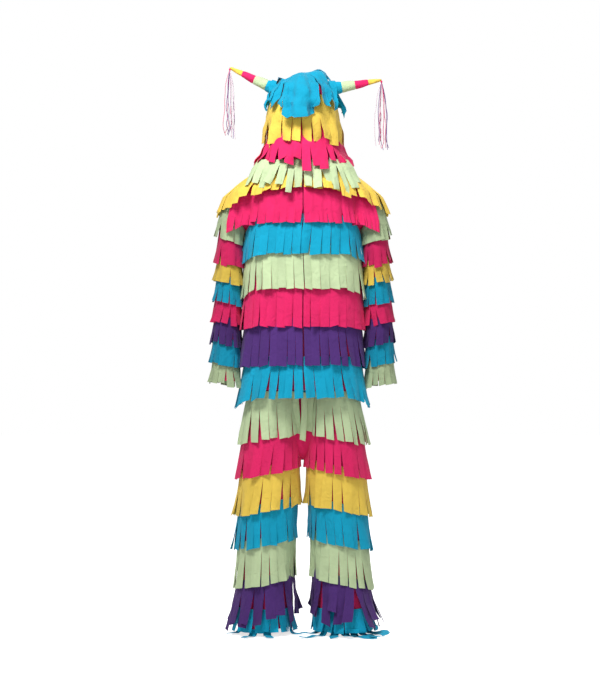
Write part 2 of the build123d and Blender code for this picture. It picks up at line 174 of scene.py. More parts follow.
# ---- tubes
def smoothed(column, reach=9):
    """A station value along the tube, with its corners rounded."""
    window = np.hanning(2 * reach + 3)
    before = 2 * column[0] - column[reach + 1:0:-1]
    after = 2 * column[-1] - column[-2:-reach - 3:-1]
    return np.convolve(np.concatenate([before, column, after]), window / window.sum(), "valid")


class Tube:
    """A cloth tube through stations (s, x, y, z, tilt, half_width, half_depth, sag).

    s rises to its head. tilt, in degrees, lifts the section's +X edge. sag is how far the two ends
    of the section's width hang below its front and back. side is -1 for the wearer's right.
    square, below 1, makes the section fuller at its corners than an ellipse.
    """

    def __init__(self, stations, side=1, rounding=9, square=1.0):
        rows = np.array([(*row, 0)[:8] for row in stations], float)  # a missing sag is 0
        self.square = square
        self.s = linspace(rows[0, 0], rows[-1, 0], 400)
        self.columns = [
            smoothed(interp(self.s, rows[:, 0], rows[:, i]), rounding) for i in range(1, 8)
        ]
        self.side = side

    def surface(self, theta, s):
        x, y, z, tilt, width, depth, sag = (interp(s, self.s, c) for c in self.columns)
        tilt = radians(tilt)
        across = width * np.sign(cos(theta)) * abs(cos(theta)) ** self.square
        return np.stack([
            self.side * (x + across * cos(tilt)),
            y + depth * np.sign(sin(theta)) * abs(sin(theta)) ** self.square,
            z + across * sin(tilt) - sag * cos(theta) ** 2,
        ], axis=-1)

    def place(self, theta, s, gap):
        """Points that stand off the tube by gap, at angles theta and levels s."""
        theta, s, gap = np.broadcast_arrays(theta, s, gap)
        turn, rise = 1e-3, (self.s[-1] - self.s[0]) * 2e-3
        around = self.surface(theta + turn, s) - self.surface(theta - turn, s)
        low, high = maximum(s - rise, self.s[0]), minimum(s + rise, self.s[-1])
        up = self.surface(theta, high) - self.surface(theta, low)
        normal = np.cross(around, up) * self.side
        normal /= np.linalg.norm(normal, axis=-1, keepdims=True) + 1e-12
        return self.surface(theta, s) + normal * gap[..., None]


class HemTube(Tube):
    """A tube whose cloth turns out onto the floor: levels below the bend lie on it."""

    BEND = 0.012

    def place(self, theta, s, gap):
        theta, s, gap = np.broadcast_arrays(theta, s, gap)
        upright = super().place(theta, maximum(s, self.BEND), gap)
        base = super().place(theta, self.BEND, 0 * gap)
        outward = super().place(theta, self.BEND, 0 * gap + 1) - base
        outward[..., 2] = 0
        past = clip(self.BEND - s, 0, None)
        angle = minimum(past / self.BEND, pi / 2)
        run = self.BEND * (1 - cos(angle)) + clip(past - self.BEND * pi / 2, 0, None)
        bent = base + outward * (run + gap * cos(angle))[..., None]
        bent[..., 2] = self.BEND * (1 - sin(angle)) + gap * sin(angle)
        return where((s < self.BEND)[..., None], bent, upright)


class Arc:
    """Even steps round a tube at one level: share 0 to 1 of the way from one angle to another."""

    def __init__(self, tube, level, gap, first, last):
        margin = (last - first) * 0.25
        self.angles = linspace(first - margin, last + margin, 600)
        points = tube.place(self.angles, level, gap)
        steps = np.linalg.norm(np.diff(points, axis=0), axis=1)
        walked = np.concatenate([[0], np.cumsum(steps)])
        start = interp(first, self.angles, walked)
        self.length = interp(last, self.angles, walked) - start
        self.shares = (walked - start) / self.length

    def angle(self, share):
        return interp(share, self.shares, self.angles)


# ---- meshes
FABRIC = 0.0012  # thickness of the visible cloth
UNDER = -0.0015  # where base cloth lies, from the surface of its tube
SEWN = 2e-6  # points this close to each other become one
SHARP_TURN = 50 * pi / 180
STRIP_POINTS, DROP_POINTS = 6, 17


def steps_across(first, last, count):
    """Even values along each row of a grid."""
    return linspace(first, last, count)[None, :]


def steps_down(first, last, count):
    """Even values down each column of a grid."""
    return linspace(first, last, count)[:, None]


def point_grid(x, y, z):
    return np.stack(np.broadcast_arrays(x, y, z), axis=-1)


def cells(points, kept):
    """The cells of a grid of points that are kept, each as a small grid of its own."""
    rows, columns = points.shape[:2]
    return [
        points[i:i + 2, j:j + 2]
        for i in range(rows - 1)
        for j in range(columns - 1)
        if kept(i, j)
    ]


def placed(name, data, place=(0, 0, 0), turn=(0, 0, 0)):
    piece = bpy.data.objects.new(name, data)
    piece.location, piece.rotation_euler = place, turn
    bpy.context.scene.collection.objects.link(piece)
    return piece


def mesh_object(name, grids, material, shades=None, thickness=FABRIC):
    """One object from grids of points. Points that two grids share are sewn together."""
    built = bmesh.new()
    # per grid: a random tone, plus any painted shade
    layer = built.verts.layers.float.new("tone_and_painted_shade")
    for grid, tone_and_painted_shade in zip(grids, [0.0] * len(grids) if shades is None else shades):
        points = [[built.verts.new(point) for point in line] for line in grid]
        for upper, lower in zip(points, points[1:]):
            for j in range(len(upper) - 1):
                built.faces.new((upper[j], upper[j + 1], lower[j + 1], lower[j]))
        for vertex in sum(points, []):
            vertex[layer] = tone_and_painted_shade
    bmesh.ops.remove_doubles(built, verts=built.verts, dist=SEWN)
    bmesh.ops.recalc_face_normals(built, faces=built.faces)
    data = bpy.data.meshes.new(name)
    built.to_mesh(data)
    built.free()
    data.materials.append(material)
    piece = placed(name, data)
    if thickness:
        solid = piece.modifiers.new("cloth", "SOLIDIFY")
        solid.thickness = thickness
        solid.offset = 0
        bpy.context.view_layer.update()
        evaluated = piece.evaluated_get(bpy.context.evaluated_depsgraph_get())
        final = bpy.data.meshes.new_from_object(evaluated)
        piece.modifiers.clear()
        piece.data = final
    shade_smooth(piece.data)
    return piece


def shade_smooth(data):
    """Smooth faces, with sharp edges wherever the cloth turns sharply."""
    edited = bmesh.new()
    edited.from_mesh(data)
    for face in edited.faces:
        face.smooth = True
    for edge in edited.edges:
        if len(edge.link_faces) == 2:
            edge.smooth = edge.calc_face_angle(0) < SHARP_TURN
    edited.to_mesh(data)
    edited.free()


def attach(piece, follows, nodes=()):
    """Parents the piece to a body when follows names one; for (body, body, start, end) it only bakes
    the piece's transform in place. Hides the CAD parts it stands for.
    """
    if isinstance(follows, str):
        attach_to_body(piece, follows)
    else:
        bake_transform(piece)
    if nodes:
        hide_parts(*nodes)


def sew(name, grids, finish, follows, nodes=(), **options):
    material, slot = FINISHES[finish]
    attach(mesh_object(name, grids, material, **options), follows, nodes)


def seeded(name):
    return np.random.default_rng(zlib.crc32(name.encode()))


# ---- fringe
class Row:
    """How one fringe row is cut and hangs. Lengths are in metres, shares are of the row's height."""

    gap_head, gap_foot = 0.001, 0.013
    slit = 0.26  # where the slits start
    slit_jitter = 0.10
    open_share = 0.24  # share of slits that gape
    spread = 0.045  # share of the foot that the gaping slits take up
    gather = 0.0  # 1 where pleats let the strips fill a wider foot
    loose = 1.0  # how unruly the strips are
    length_jitter = 0.012
    swerve = 0.0015  # how far the strips drift sideways
    ripple = 0.0015
    crumple = 0.0012
    closed_at = None  # says at which angles there are no slits
    fold = None  # extra gap, a function of the angle and the drop
    tone_and_painted_shade = 0.0  # painted shade: how much lighter the row's cloth is painted, below 0 darker where the lamps leave it too bright

    def __init__(self, head, foot, **changes):
        self.head, self.foot = head, foot  # levels, or functions of the angle
        self.__dict__.update(changes)


def level(value, theta):
    return value(theta) if callable(value) else np.full(np.shape(theta), float(value))


def crumpling(points, seed):
    """Creases at the points of a grid, from about -1 to 1: broad sharp ones and small ones."""
    values = [
        0.5 - 1.8 * abs(noise.noise(Vector(point) * 17 + seed))
        + 0.4 * noise.noise(Vector(point) * 46 + seed)
        for point in points.reshape(-1, 3)
    ]
    return np.array(values).reshape(points.shape[:2])


LEAST_GAP = 0.0008  # between a row's tube and its cloth
LIFT, TWIST, CURL, CUP = 0.0024, 0.22, 0.004, 0.0012  # how a loose strip leaves its tube
SLANT = 0.022  # how far from square the foot of a strip is cut
SHADE_SPREAD = 0.03  # how much the strips of a row differ in shade
WIDTH_SPREAD = 0.13  # how much they differ in width
CLOSED_SLIT = 0.07  # weight of a slit that hardly gapes, where one that gapes has about 1
WAVES_ROUND = (3, 7, 13)  # ripples in a row, from one end to the other
CREASE_DEPTH = 0.0006  # of the shallow creases in base cloth


class Strips:
    """The cut and the hang of every strip in a row, each drawn at random."""

    def __init__(self, rng, row, count, head_arc, foot_arc):
        self.row, self.head_arc, self.foot_arc = row, head_arc, foot_arc
        slack = max(row.spread, (1 - head_arc.length / foot_arc.length) * (1 - row.gather))
        self.draw_edges(rng, row, count, slack)
        self.starts = (row.slit + row.slit_jitter * rng.uniform(-1, 1, count + 1)).clip(0.05, 0.93)
        self.lifts = LIFT * rng.standard_normal(count) * row.loose
        self.twists = TWIST * rng.standard_normal(count) * row.loose
        self.curls = CURL * rng.random(count) * row.loose
        self.cups = CUP * rng.standard_normal(count) * row.loose
        self.swerves = row.swerve * rng.standard_normal(count) / foot_arc.length
        self.longer = row.length_jitter * rng.standard_normal(count)
        self.slants = SLANT * rng.standard_normal(count) * row.loose
        self.phases = rng.uniform(0, tau, 3)
        # the row's painted shade, and a random tone for each strip
        self.shades = row.tone_and_painted_shade + SHADE_SPREAD * rng.standard_normal(count)
        self.seed = Vector(rng.uniform(0, 50, 3))

    def draw_edges(self, rng, row, count, slack):
        """Edges of the strips along the header, and the left and right edge of each at the foot."""
        widths = 1 + WIDTH_SPREAD * rng.standard_normal(count).clip(-2, 2)
        widths /= widths.sum()
        gapes = rng.random(count) < row.open_share
        weights = where(gapes, rng.uniform(0.4, 1.6, count), CLOSED_SLIT)
        gaps = slack * weights / weights.sum()
        foot_widths = widths * (1 - slack)
        right = np.cumsum(foot_widths + gaps) - gaps / 2
        left = right - foot_widths
        self.head = np.concatenate([[0], np.cumsum(widths)])
        drift = ((left + right) / 2 - (self.head[1:] + self.head[:-1]) / 2).mean()
        self.left, self.right = left - drift, right - drift

    def close_slits(self, joined_ends):
        """Sews up the slits that the row has none of, and gives a closed ring's ends one slit."""
        if joined_ends:
            self.starts[-1] = self.starts[0]
        if self.row.closed_at:
            closed = self.row.closed_at(self.head_arc.angle(self.head))
            self.starts = where(closed, 1.0, self.starts)

    def hang(self, k, tube):
        """The grid of points of strip k, from the top of its header to its foot."""
        row = self.row
        p = steps_across(0, 1, STRIP_POINTS)
        v = steps_down(0, 1, DROP_POINTS)
        start = self.starts[k] + (self.starts[k + 1] - self.starts[k]) * p
        free = clip((v - start) / maximum(1 - start, 1e-3), 0, 1)
        along_head = self.head[k] + (self.head[k + 1] - self.head[k]) * p
        along_foot = self.left[k] + (self.right[k] - self.left[k]) * p + self.swerves[k]
        theta = self.head_arc.angle(along_head) + 0 * v
        theta = theta + free * (self.foot_arc.angle(along_foot) - theta)
        drop = v * (1 + free * (self.longer[k] + self.slants[k] * (p - 0.5)))
        top, bottom = level(row.head, theta), level(row.foot, theta)
        s = top + (bottom - top) * drop

        share = along_head + free * (along_foot - along_head)
        waves = sum(sin(tau * share * n + f) for n, f in zip(WAVES_ROUND, self.phases))
        gap = row.gap_head + (row.gap_foot - row.gap_head) * v + row.ripple * waves * v
        gap = gap + row.crumple * crumpling(tube.surface(theta, s), self.seed) * minimum(v * 2, 1)
        width = (self.head[k + 1] - self.head[k]) * self.head_arc.length
        turn = self.twists[k] * width * (p - 0.5)
        gap = gap + free ** 1.5 * (self.lifts[k] + turn + self.curls[k] * free)
        layer = LEAST_GAP if k % 2 else -LEAST_GAP  # so that neighbours pass each other
        gap = gap + free * (self.cups[k] * (4 * (p - 0.5) ** 2 - 0.5) + layer)
        if row.fold:
            gap = gap + row.fold(theta, v)
        return tube.place(theta, s, maximum(gap, LEAST_GAP))


def fringe(name, tube, first, last, count, row, colour, follows, nodes=()):
    """One fringe row from angle first to angle last, as a single sewn object."""
    middle = np.array((first + last) / 2)
    head_arc = Arc(tube, float(level(row.head, middle)), row.gap_head, first, last)
    foot_arc = Arc(tube, float(level(row.foot, middle)), row.gap_foot, first, last)
    strips = Strips(seeded(name), row, count, head_arc, foot_arc)
    strips.close_slits(joined_ends=abs(last - first - tau) < 1e-6)
    grids = [strips.hang(k, tube) for k in range(count)]
    sew(name, grids, colour, follows, nodes, shades=strips.shades)


def cloth(
    name, tube, low, high, first, last, gap, follows,
    nodes=(), steps=(48, 40), skip=None, finish="base",
):
    """A plain piece of base cloth, with shallow creases that never stand proud."""
    rng = seeded(name)
    theta = steps_across(first, last, steps[0])
    s = steps_down(low, high, steps[1])
    rise = (s - low) / (high - low) * 2
    creases = sum(
        sin(theta * turns + rise * rises + rng.uniform(0, tau))
        for turns, rises in ((5, 2), (9, 5), (3, 9))
    )
    points = tube.place(theta, s, gap + CREASE_DEPTH * creases)
    grids = [points]
    if skip:
        grids = cells(points, lambda i, j: not skip(theta[0, j], s[i, 0]))
    sew(name, grids, finish, follows, nodes)


# ---- torso
WAIST_Z, NECK_Z = foot_of("torso_back"), top_of("torso_back")
ZIP_LOW, ZIP_HIGH = foot_of("zip_tape_left"), top_of("zip_tape_left")
TORSO_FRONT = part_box("torso_front_left")[0].y
TORSO_HALF_WIDTH = 0.183
LAP = 0.028  # how far a row covers the one below it
PARTING = 0.0007 / TORSO_HALF_WIDTH  # half the parting of the rows over the zip, as an angle
ZIP_SLOT = 0.009 / TORSO_HALF_WIDTH  # half the gap between the front panels, as an angle
SEAM_SLOT = 0.001  # the same above and below the zip, where they are sewn
HIP_END = 0.660  # height where the bend from torso to leg ends
PLACKET = 0.009  # how far the rows bridge over the zip, so that the slider runs under them
PLACKET_REACH = 0.015  # how far to each side of the zip they do
SIDE_FLARE = 0.004  # how far the strips at the sides stand off more than the others


def torso_station(z, half_width, half_depth, centre=None):
    """A torso section. The front stays straight for the zip unless a centre is given."""
    y = TORSO_FRONT + half_depth if centre is None else centre
    return (z, 0, y, z, 0, half_width, half_depth)


TORSO = Tube([
    torso_station(0.68, TORSO_HALF_WIDTH, 0.130),
    torso_station(1.250, TORSO_HALF_WIDTH, 0.130),
    torso_station(1.320, TORSO_HALF_WIDTH, 0.126),
    torso_station(1.390, 0.182, 0.117),
    torso_station(1.425, 0.180, 0.104, 0.001),
    torso_station(1.448, 0.172, 0.092, 0.001),
    torso_station(1.468, 0.145, 0.084, 0),
    torso_station(1.490, 0.098, 0.079, 0),
    torso_station(NECK_Z, 0.078, 0.077, 0),
], rounding=4, square=0.86)

def shoulder(side, word):
    """Where cloth bends from the torso to a sleeve."""
    start, end = Vector((side * 0.160, 0, 1.360)), Vector((side * 0.240, 0, 1.300))
    return "torso", f"{word}_sleeve", start, end


def hip(side, word):
    """Where cloth bends from the torso to a leg."""
    start, end = Vector((side * 0.105, 0, 0.800)), Vector((side * 0.105, 0, HIP_END))
    return "torso", f"{word}_leg", start, end


def sideways(theta):
    """0 at the front and back of a tube, rising late to 1 at its two sides."""
    return abs(cos(theta)) ** 6


def drooping(value, droop):
    return lambda theta: value - droop * sideways(theta)


def placket(theta, drop):
    """Rows stand off the zip along the front, and their side strips stand off a little more."""
    x = TORSO_HALF_WIDTH * cos(theta)
    over_zip = where(sin(theta) < 0, exp(-((x / PLACKET_REACH) ** 2)), 0)
    return PLACKET * over_zip * (1 - 0.5 * drop) + SIDE_FLARE * sideways(theta) * drop


def torso_rows():
    feet = (
        top_of("torso_teal_fringe") - LAP,
        top_of("torso_green_fringe") - LAP,
        foot_of("torso_green_fringe"),
        foot_of("torso_pink_fringe"),
        foot_of("torso_purple_fringe"),
        foot_of("torso_teal_fringe"),
    )
    heads = (top_of("torso_pink_fringe"), *(foot + LAP for foot in feet[:-1]))
    start, end = FRONT + PARTING, FRONT + tau - PARTING

    chest = Row(heads[0], feet[0], slit=0.60, open_share=0.35, fold=placket)
    reach = radians(66)
    for name, first, last, count in (
        ("chest_left_pink_fringe", start, FRONT + reach, 8),
        ("chest_right_pink_fringe", FRONT - reach, FRONT - PARTING, 8),
        ("back_pink_fringe", BACK - reach, BACK + reach, 14),
    ):
        fringe(name, TORSO, first, last, count, chest, "pink", "torso")
    for number, name, head_droop, foot_droop, colour, gap, nodes in (
        (1, "upper_teal_fringe", 0.060, 0.034, "teal", 0.013, ()),
        (2, "torso_green_fringe_row", 0.014, 0.036, "green", 0.013, ["torso_green_fringe"]),
        (3, "lower_pink_fringe", 0, 0.012, "pink", 0.014, ["torso_pink_fringe"]),
        (4, "torso_purple_fringe_row", 0, 0.010, "purple", 0.015, ["torso_purple_fringe"]),
    ):
        row = Row(
            drooping(heads[number], head_droop), drooping(feet[number], foot_droop), gap_foot=gap,
            fold=placket, slit=0.17, open_share=0.20, spread=0.08,
        )
        fringe(name, TORSO, start, end, 38, row, colour, "torso", nodes)
    hem = Row(
        heads[5], drooping(feet[5] + 0.008, 0.032), gap_foot=0.022, loose=1.4, open_share=0.35,
        swerve=0.004, fold=placket,
    )
    for side, word, first, last, nodes in (
        (1, "left", start, BACK, ["torso_teal_fringe"]), (-1, "right", BACK, end, ()),
    ):
        name = f"{word}_hip_teal_fringe"
        fringe(name, TORSO, first, last, 19, hem, "teal", hip(side, word), nodes)


def torso_cloth():
    cloth("torso_back_panel", TORSO, WAIST_Z, NECK_Z, 0, pi, UNDER, "torso", ["torso_back"])
    for word, first, last, turn in (("left", FRONT, 0, 1), ("right", pi, FRONT + tau, -1)):
        for place, low, high, slot, nodes in (
            ("panel", ZIP_LOW, ZIP_HIGH, ZIP_SLOT, [f"torso_front_{word}"]),
            ("top", ZIP_HIGH, NECK_Z, SEAM_SLOT, ()),
            ("foot", WAIST_Z, ZIP_LOW, SEAM_SLOT, ()),
        ):
            start, end = (first + slot, last) if turn > 0 else (first, last - slot)
            name = f"torso_front_{word}_{place}"
            cloth(name, TORSO, low, high, start, end, UNDER, "torso", nodes, steps=(24, 30))


CROTCH_STRIPS = (  # x, half width, length
    (-0.021, 0.0105, 0.130), (0.001, 0.0090, 0.152), (0.022, 0.0105, 0.124),
)


def gusset():
    """The low saddle of cloth between the legs, with the middle strips of the green row on it."""
    high, low = TOP_HEAD - 0.004, 0.548
    half_width, half_depth = 0.030, 0.062
    along = steps_down(0, pi, 41)
    across = steps_across(-1, 1, 9)
    z = high - (high - low) * sin(along) ** 0.5 * (1 - 0.05 * across ** 2)
    saddle = point_grid(half_width * across, -half_depth * cos(along), z)
    sew("gusset_saddle", [saddle], "base", "torso", ["crotch_gusset"])
    drop = steps_down(0, 1, DROP_POINTS)
    p = steps_across(-1, 1, STRIP_POINTS)
    for name, facing in (("front", -1), ("back", 1)):
        grids = [
            point_grid(
                x + half * p + 0.003 * sin(4 * drop + x * 90),
                facing * (0.076 + 0.003 * cos(x * 150) - 0.010 * drop + 0.003 * p ** 2),
                high + 0.001 - length * drop - 0.003 * p,
            )
            for x, half, length in CROTCH_STRIPS
        ]
        sew(f"{name}_crotch_green_strips", grids, "green", "torso")


# ---- shoulders
YOKE = Tube([  # a cape from beyond its free edge up to the neck
    (-0.2, 0, -0.001, 1.362, 0, 0.272, 0.140, 0.066),
    (0.0, 0, -0.001, 1.394, 0, 0.268, 0.138, 0.066),
    (0.3, 0, -0.002, 1.424, 0, 0.250, 0.130, 0.046),
    (0.6, 0, 0, 1.456, 0, 0.205, 0.116, 0.036),
    (0.85, 0, 0, 1.486, 0, 0.140, 0.102, 0.016),
    (1.0, 0, 0, 1.502, 0, 0.096, 0.090, 0.0),
])
RUFF = Tube([  # a collar that hangs on top of the cape
    (-0.3, 0, -0.002, 1.370, 0, 0.204, 0.144, -0.014),
    (0.0, 0, -0.002, 1.400, 0, 0.196, 0.143, -0.014),
    (0.6, 0, -0.001, 1.460, 0, 0.170, 0.126, -0.010),
    (1.0, 0, 0, 1.494, 0, 0.148, 0.104, -0.004),
], square=0.85)


def yoke_foot(theta):
    """The cape ends higher in front and behind than over the shoulders."""
    return 0.10 * abs(sin(theta)) ** 4


def front_and_back(name, tube, reach, seam, counts, row, colour, node):
    """A row in three pieces: two in front, which a seam parts, and one behind."""
    for place, first, last, count, nodes in (
        ("front_left", FRONT + seam, FRONT + reach, counts[0], [node]),
        ("front_right", FRONT - reach, FRONT - seam, counts[0], ()),
        ("back", BACK - reach, BACK + reach, counts[1], ()),
    ):
        fringe(f"{place}_{name}", tube, first, last, count, row, colour, "torso", nodes)


def shoulder_rows():
    reach, seam = radians(35), 0.008
    yoke = Row(
        0.94, yoke_foot, gap_foot=0.003, slit=0.30, open_share=0.4, length_jitter=0.035,
        gather=0.8, spread=0.04, loose=1.3, swerve=0.004,
    )
    front_and_back(
        "yellow_yoke", YOKE, reach, seam, (5, 10), yoke, "yellow", "yellow_yoke_fringe"
    )
    for side, word in SIDES:
        middle, span = (0 if side > 0 else pi), pi / 2 - reach
        name = f"{word}_shoulder_yellow_fringe"
        follows = shoulder(side, word)
        fringe(name, YOKE, middle - span, middle + span, 14, yoke, "yellow", follows)
        shoulder_pink(side, word)
    ruff = Row(
        0.96, -0.03, gap_head=0.003, gap_foot=0.006, slit=0.25, slit_jitter=0.15, open_share=0.6,
        loose=1.3, length_jitter=0.11, gather=0.75, spread=0.26, swerve=0.004,
    )
    front_and_back(
        "green_ruff", RUFF, radians(66), seam / 2, (7, 15), ruff, "green", "green_ruff_fringe"
    )


UPPER_ARM = Tube([  # a sheet under the yoke that falls over the front and back of the upper arm
    (0.0, 0, -0.002, 1.225, 0, 0.370, 0.080, 0.0),
    (0.5, 0, -0.002, 1.300, 0, 0.365, 0.083, 0.0),
    (0.8, 0, -0.002, 1.360, 0, 0.345, 0.084, 0.010),
    (1.0, 0, -0.002, 1.400, 0, 0.315, 0.080, 0.020),
])


def upper_arm_foot(theta):
    """The sheet ends lower towards the outside of the arm."""
    return 0.43 - 1.1 * clip(abs(cos(theta)) - 0.50, 0, 1)


def shoulder_pink(side, word):
    """Pink strips that carry the chest row on over the front and back of each shoulder."""
    row = Row(
        0.97, upper_arm_foot, gap_head=0.0, gap_foot=0.006, slit=0.5, open_share=0.4, loose=1.3
    )
    for place, start, end in (("front", -66, -49), ("back", 49, 66)):
        first, last = radians(start), radians(end)
        if side < 0:
            first, last = pi - last, pi - first
        name = f"{word}_{place}_shoulder_pink_fringe"
        fringe(name, UPPER_ARM, first, last, 4, row, "pink", shoulder(side, word))


# ---- sleeves
SLEEVE_STATIONS = [  # s runs up the arm from below the cuff to the armhole
    (0.000, 0.246, 0, 0.740, 4, 0.041, 0.043),
    (0.060, 0.245, 0, 0.800, 4, 0.041, 0.044),
    (0.190, 0.242, 0, 0.930, 4, 0.041, 0.047),
    (0.360, 0.236, 0, 1.100, 4, 0.038, 0.051),
    (0.485, 0.230, 0, 1.225, 8, 0.037, 0.054),
    (0.545, 0.226, 0, 1.285, 25, 0.041, 0.056),
    (0.585, 0.214, 0, 1.322, 55, 0.054, 0.057),
    (0.617, 0.190, 0, 1.343, 82, 0.068, 0.058),
    (0.667, 0.140, 0, 1.345, 90, 0.072, 0.058),
]
SLEEVE_FEET = (0.500, 0.424, 0.367, 0.303, 0.239, 0.173, 0.109, 0.045)
SLEEVE_COLOURS = ("green", "pink", "yellow", "teal", "pink", "purple", "teal", "green")
SLEEVE_HEAD, SLEEVE_LAP = 0.585, 0.022
SLEEVE_SLOPE = 0.0065  # how far a row rises towards the outside of the arm


def fringe_node(limb, colours, number):
    """A limb's CAD fringe of one colour, which its first row of that colour stands for."""
    colour = colours[number]
    return () if colour in colours[:number] else [f"{limb}_{colour}_fringe"]


def rising(value, slope):
    """A level that goes up by slope towards the outside of a limb, and down towards its inside."""
    return lambda theta: value + slope * cos(theta)


def sleeve(side, word):
    tube = Tube(SLEEVE_STATIONS, side, rounding=6)
    follows = shoulder(side, word)
    cloth(
        f"{word}_sleeve_cloth", tube, 0.060, 0.640, 0, tau, UNDER, follows,
        [f"{word}_sleeve_tube"], steps=(41, 60),
    )
    heads = (SLEEVE_HEAD, *(foot + SLEEVE_LAP for foot in SLEEVE_FEET[:-1]))
    for number, colour in enumerate(SLEEVE_COLOURS):
        # The sleeves' rows carry painted shade, darker than the torso's, where the sleeves fall into
        # shade.
        row = Row(
            rising(heads[number], SLEEVE_SLOPE), rising(SLEEVE_FEET[number], SLEEVE_SLOPE),
            gap_foot=0.0095, slit=0.35, open_share=0.28, length_jitter=0.03, ripple=0.0012,
            loose=0.9, tone_and_painted_shade=-0.30,
        )
        nodes = fringe_node(f"{word}_sleeve", SLEEVE_COLOURS, number)
        name = f"{word}_sleeve_row_{number + 1}_{colour}"
        fringe(name, tube, pi, pi + tau, 13, row, colour, follows, nodes)


# ---- legs
LEG_SECTIONS = [  # z, centre x, half width, half depth
    (-0.02, 0.124, 0.086, 0.094),
    (0.100, 0.122, 0.087, 0.094),
    (0.300, 0.115, 0.091, 0.094),
    (0.500, 0.106, 0.093, 0.094),
    (0.640, 0.099, 0.091, 0.093),
    (0.725, 0.094, 0.086, 0.093),
    (0.800, 0.092, 0.078, 0.100),
]
LEG_FEET = (0.617, 0.508, 0.391, 0.283, 0.161, 0.048)
LEG_COLOURS = ("green", "pink", "yellow", "teal", "green", "purple")
LEG_SLOPE = 0.0205  # how far a row rises towards the inside of the leg
TOP_HEAD = 0.768  # header of the highest row, under the hip row
HEM_HEAD, HEM_FOOT = 0.085, 0.010


def leg_tube(side, kind=Tube):
    stations = [(z, x, 0, z, 0, width, depth) for z, x, width, depth in LEG_SECTIONS]
    return kind(stations, side, rounding=12)


def inner_leg(theta, drop):
    """Rows lie flat where the two legs meet."""
    return -0.009 * clip(-cos(theta), 0, 1) ** 2 * drop


def over_foot(theta):
    """1 over the front of the left foot, falling to 0 a quarter turn away."""
    return clip(cos(theta - radians(-50)), 0, 1) ** 2


def instep(theta, drop):
    """The lowest row of the left leg hangs over the front of the foot."""
    return 0.034 * over_foot(theta) * drop ** 1.6 + inner_leg(theta, drop)


def hem_heap(theta, drop):
    """The hem of the left leg is pushed out by the foot under it."""
    return 0.028 * over_foot(theta) * drop


# Leg rows carry painted shade, a little darker than the torso's, and the lowest rows more, darker
# towards the floor.
LEG_ROW = dict(open_share=0.35, loose=1.1, fold=inner_leg, tone_and_painted_shade=-0.07)
LOWEST_ROW = dict(gap_foot=0.022, slit=0.18, open_share=0.6, crumple=0.004, tone_and_painted_shade=-0.16)
LOWEST_ON_SIDE = {
    1: dict(loose=2.0, length_jitter=0.10, swerve=0.012, spread=0.09, fold=instep),
    -1: dict(loose=1.7, length_jitter=0.07, swerve=0.006, spread=0.045, fold=inner_leg),
}


def leg(side, word):
    tube = leg_tube(side)
    body, across_hip = f"{word}_leg", hip(side, word)
    cloth(
        f"{body}_cloth", tube, 0.022, 0.790, 0, tau, UNDER, across_hip, [f"{body}_tube"],
        steps=(61, 60),
    )
    heads = (TOP_HEAD, *(foot + LAP for foot in LEG_FEET[:-1]))
    for number, colour in enumerate(LEG_COLOURS):
        lowest = number == len(LEG_COLOURS) - 1
        head = rising(heads[number], -LEG_SLOPE if number else 0)
        looks = LOWEST_ROW | LOWEST_ON_SIDE[side] if lowest else LEG_ROW
        row = Row(head, rising(LEG_FEET[number], -LEG_SLOPE), **looks)
        nodes = () if colour == "teal" else fringe_node(body, LEG_COLOURS, number)
        bends = heads[number] + LEG_SLOPE > HIP_END
        name = f"{body}_row_{number + 1}_{colour}"
        fringe(name, tube, 0, tau, 22, row, colour, across_hip if bends else body, nodes)
    hem = Row(
        HEM_HEAD, HEM_FOOT, gap_head=0.003, gap_foot=0.012, slit=0.1, open_share=0.6, loose=1.2,
        length_jitter=0.06, spread=0.06, swerve=0.006, fold=hem_heap if side > 0 else None,
    )
    name, nodes = f"{word}_hem_teal_fringe", [f"{body}_teal_fringe"]
    fringe(name, leg_tube(side, HemTube), 0, tau, 21, hem, "teal", body, nodes)
    floor_strips(side, word)


FLOOR_STRIPS = {  # heading from the middle of the leg in degrees, run, curve to the left, width
    "left": (
        (-128, 0.085, -7, 0.024), (-104, 0.045, 12, 0.026), (-84, 0.052, 14, 0.026),
        (-66, 0.085, 12, 0.025), (-48, 0.076, -6, 0.027), (-30, 0.072, -8, 0.024),
        (-8, 0.050, 9, 0.024), (60, 0.045, -9, 0.024), (115, 0.040, 6, 0.026),
    ),
    "right": (
        (-112, 0.045, -9, 0.026), (-84, 0.044, 7, 0.025), (-150, 0.030, 5, 0.024),
        (-22, 0.085, 16, 0.022), (95, 0.040, 6, 0.026),
    ),
}
FLOOR_START, FLOOR_BEND = 0.060, 0.012  # height that these strips start at, radius they turn by
FLOOR_REACH = 0.090  # from the middle of the leg to where they start
LIES_AT, LAYER = 0.0015, 0.0022  # height of the strips that lie lowest, and of each next


